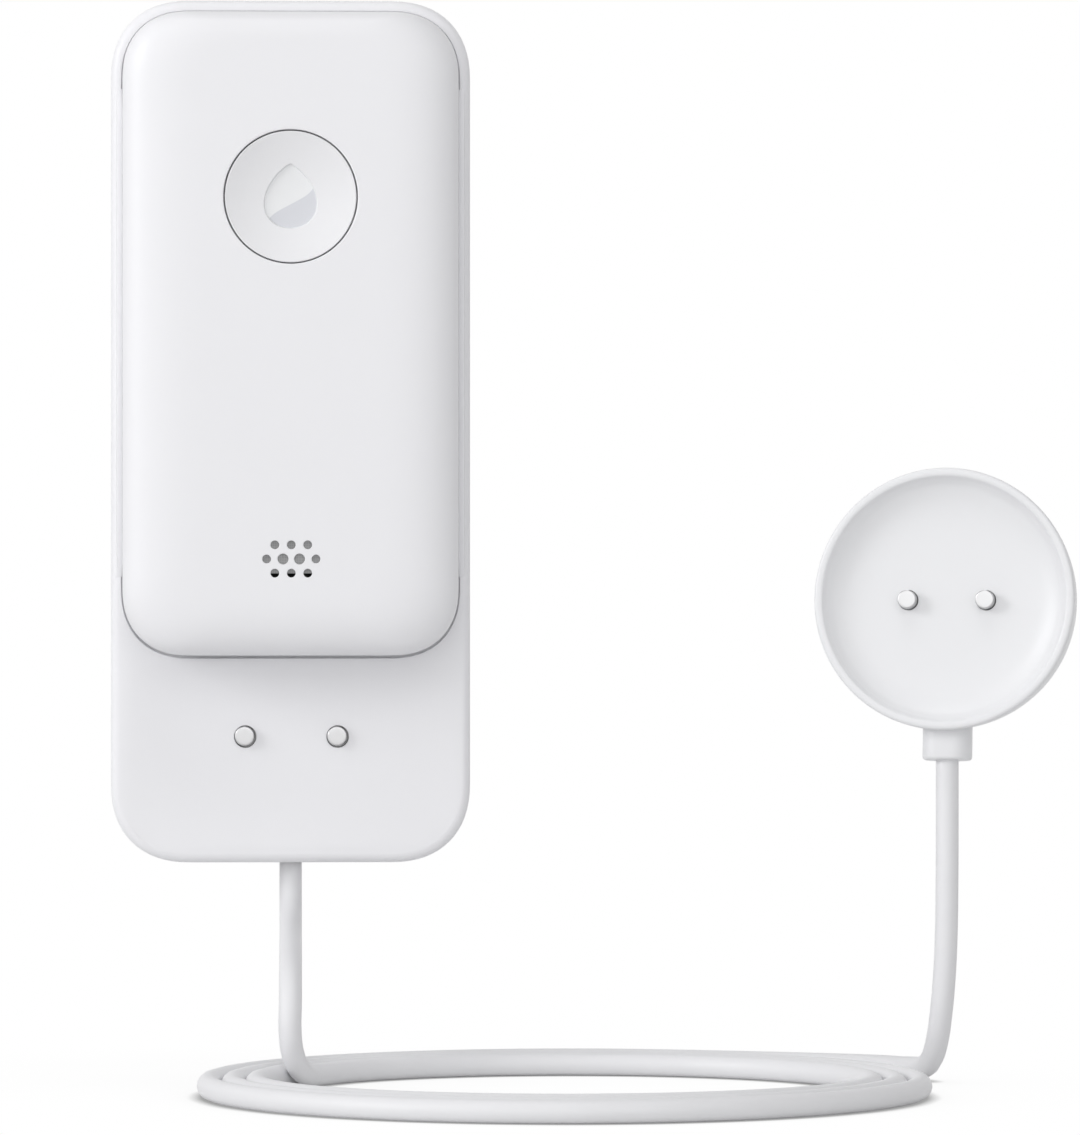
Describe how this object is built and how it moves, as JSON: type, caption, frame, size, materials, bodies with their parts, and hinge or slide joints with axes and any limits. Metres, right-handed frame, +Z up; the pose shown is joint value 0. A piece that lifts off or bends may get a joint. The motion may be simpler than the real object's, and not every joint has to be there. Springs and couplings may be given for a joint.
{
  "type": "water leak sensor",
  "caption": "White wall-hung water leak sensor with a test button, sounder holes and ledge contacts, and a round dished remote probe on a coiled white cord.",
  "frame": {"origin": "centre of the flat back of the housing, where it is fixed to a wall", "axes": "+Y out of the back, into the wall; +Z up along the housing; +X to the right of a viewer who faces the button"},
  "size_m": [0.1271, 0.0986, 0.1436],
  "materials": {
    "white_plastic": "satin white moulding",
    "button_plastic": "satin white moulding",
    "probe_plastic": "satin white moulding",
    "cord_jacket": "smooth white jacket",
    "pin_steel": "pale satin metal",
    "seal_rubber": "dull black",
    "board_laminate": "green board",
    "chip_plastic": "dull black",
    "tray_plastic": "dull grey",
    "sounder_plastic": "dull black",
    "contact_nickel": "bright spring metal",
    "cell_wrap": "plain grey wrap",
    "screw_steel": "plain steel",
    "ribbon_film": "amber film"
  },
  "bodies": {
    "unit": {"battery_bridge": "contact_nickel", "battery_left": "cell_wrap", "battery_right": "cell_wrap", "battery_spring_left": "contact_nickel", "battery_spring_right": "contact_nickel", "battery_tab_minus": "contact_nickel", "battery_tab_plus": "contact_nickel", "battery_tray": "tray_plastic", "circuit_board": "board_laminate", "contact_board": "board_laminate", "contact_pin_left": "pin_steel", "contact_pin_right": "pin_steel", "control_chip": "chip_plastic", "cord_coil": "cord_jacket", "cord_drop": "cord_jacket", "cord_grommet": "seal_rubber", "cord_rise": "cord_jacket", "front_cover": "white_plastic", "housing_seal": "seal_rubber", "link_ribbon": "ribbon_film", "pin_seal_left": "seal_rubber", "pin_seal_right": "seal_rubber", "probe_back": "probe_plastic", "probe_board": "board_laminate", "probe_collar": "probe_plastic", "probe_cup": "probe_plastic", "probe_pin_left": "pin_steel", "probe_pin_right": "pin_steel", "probe_seal": "seal_rubber", "rear_housing": "white_plastic", "screw_lower_left": "screw_steel", "screw_lower_right": "screw_steel", "screw_upper_left": "screw_steel", "screw_upper_right": "screw_steel", "sounder": "sounder_plastic", "sounder_gasket": "seal_rubber", "sounder_mesh": "seal_rubber", "tact_switch": "chip_plastic"},
    "button": {"test_button": "button_plastic", "switch_plunger": "sounder_plastic"}
  },
  "joints": [
    {"name": "button_press", "type": "slide", "parent": "unit", "child": "button", "axis": [0, 1, 0], "range_m": [0, 0.0005], "stiffness_N_per_m": 2400, "springref_m": -0.0002}
  ]
}
